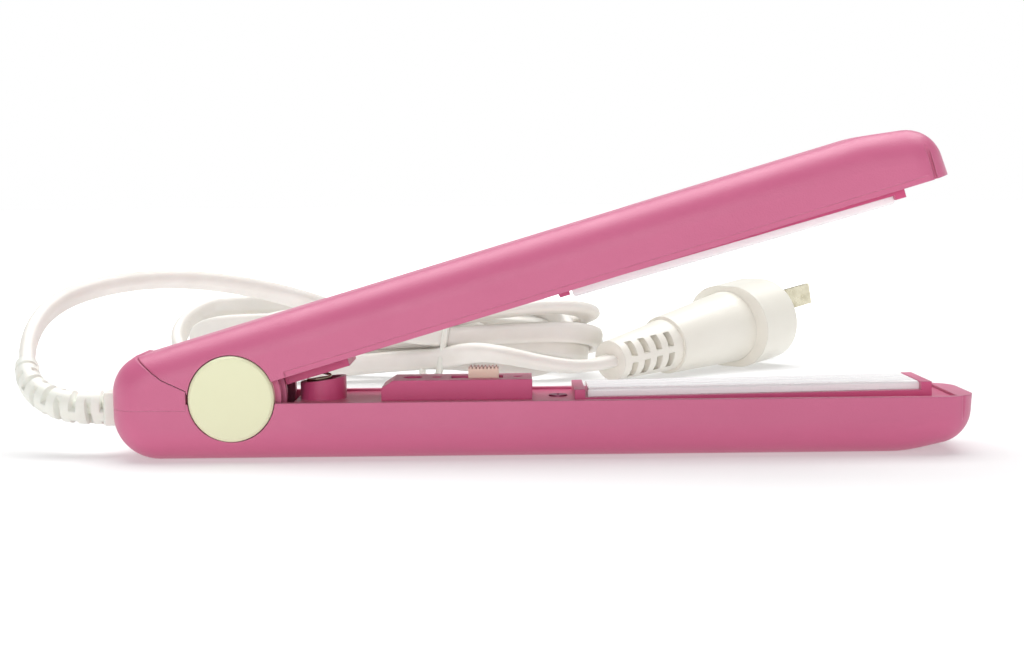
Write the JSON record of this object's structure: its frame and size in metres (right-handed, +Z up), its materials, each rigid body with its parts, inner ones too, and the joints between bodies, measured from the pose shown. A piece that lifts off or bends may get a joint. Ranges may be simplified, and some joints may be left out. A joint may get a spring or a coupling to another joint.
{
  "type": "hair straightener",
  "caption": "Mini hair straightener: two hinged shell arms with facing flat heating plates, a slide switch, and a wrapped mains cord.",
  "frame": {"origin": "on the resting surface, under the middle of the lower arm's length and width", "axes": "+X along the lower arm from the cord end to the tip, +Y to the side the wrapped cord lies on, +Z up"},
  "size_m": [0.2062, 0.2071, 0.0666],
  "materials": {
    "pink_shell": "satin",
    "pink_inner": "satin",
    "cream_cap": "satin",
    "heating_plate": "gloss",
    "heater_ceramic": "matte",
    "backing_pad": "matte",
    "screw_steel": "satin",
    "switch_module": "matte",
    "switch_knob": "satin",
    "lamp": "gloss",
    "lead_insulation": "satin",
    "fuse_case": "satin",
    "cord_white": "satin",
    "boot_white": "satin",
    "hinge_steel": "satin",
    "spring_steel": "satin",
    "plug_white": "satin",
    "pin_brass": "satin"
  },
  "bodies": {
    "lower_arm": {"lower_housing": "pink_shell", "rear_cover": "pink_shell", "lower_inner_cover": "pink_inner", "lower_heating_plate": "heating_plate", "lower_heater": "heater_ceramic", "lower_heater_pad": "backing_pad", "lower_cover_screw": "screw_steel", "switch_housing": "pink_inner", "switch_module": "switch_module", "switch_screws": "screw_steel", "indicator_lamp": "lamp", "supply_leads": "lead_insulation", "thermal_fuse": "fuse_case", "strain_relief": "boot_white", "hinge_pin": "hinge_steel", "hinge_cap_near": "cream_cap", "hinge_cap_far": "cream_cap", "opening_spring": "spring_steel", "cord_lead": "cord_white", "cord_hank": "cord_white", "cord_tail": "cord_white", "cord_tie": "boot_white", "plug_boot": "plug_white", "plug_body": "plug_white", "plug_pins": "pin_brass"},
    "upper_arm": {"upper_housing": "pink_shell", "upper_inner_cover": "pink_inner", "upper_heating_plate": "heating_plate", "upper_heater": "heater_ceramic", "upper_heater_pad": "backing_pad", "upper_cover_screw": "screw_steel"},
    "knob": {"switch_knob": "switch_knob"}
  },
  "joints": [
    {"name": "arm_hinge", "type": "hinge", "parent": "lower_arm", "child": "upper_arm", "pos_m": [-0.0632, 0, 0.0131], "axis": [0, 1, 0], "range_deg": [0, 14.9], "stiffness_Nm_per_rad": 0.46, "springref_deg": -9.74, "deforming": ["opening_spring"]},
    {"name": "switch_slide", "type": "slide", "parent": "lower_arm", "child": "knob", "axis": [-1, 0, 0], "range_m": [0, 0.003]}
  ]
}
